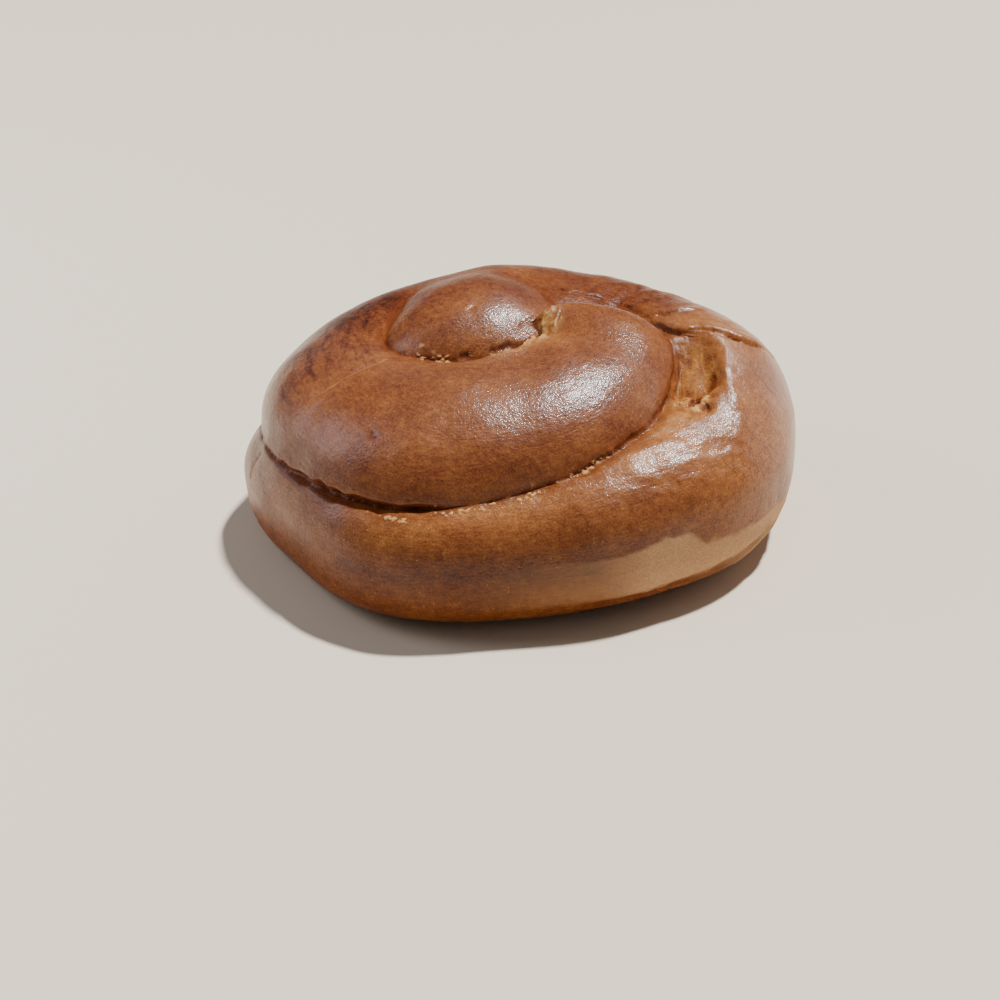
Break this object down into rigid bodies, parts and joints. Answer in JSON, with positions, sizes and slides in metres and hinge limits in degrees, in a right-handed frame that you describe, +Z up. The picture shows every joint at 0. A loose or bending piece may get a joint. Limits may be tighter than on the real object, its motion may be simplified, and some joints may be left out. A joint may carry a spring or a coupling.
{
  "type": "round challah",
  "caption": "Round coiled egg bread: one thick rope of dough wound on itself over a flat foot, with a knob on top, overlapping folds and a torn seam.",
  "frame": {"origin": "middle of the loaf's foot, on the surface it stands on", "axes": "+Z up; -Y is the front, where the upper coil hangs over the outer coil; +X to the right, towards the thickest part of the rope"},
  "size_m": [0.236, 0.2068, 0.096],
  "materials": {
    "crust": "glossy brown egg-washed bread crust, paler and matt at the tears and at the foot"
  },
  "bodies": {
    "root": {"challah": "crust"}
  },
  "joints": []
}
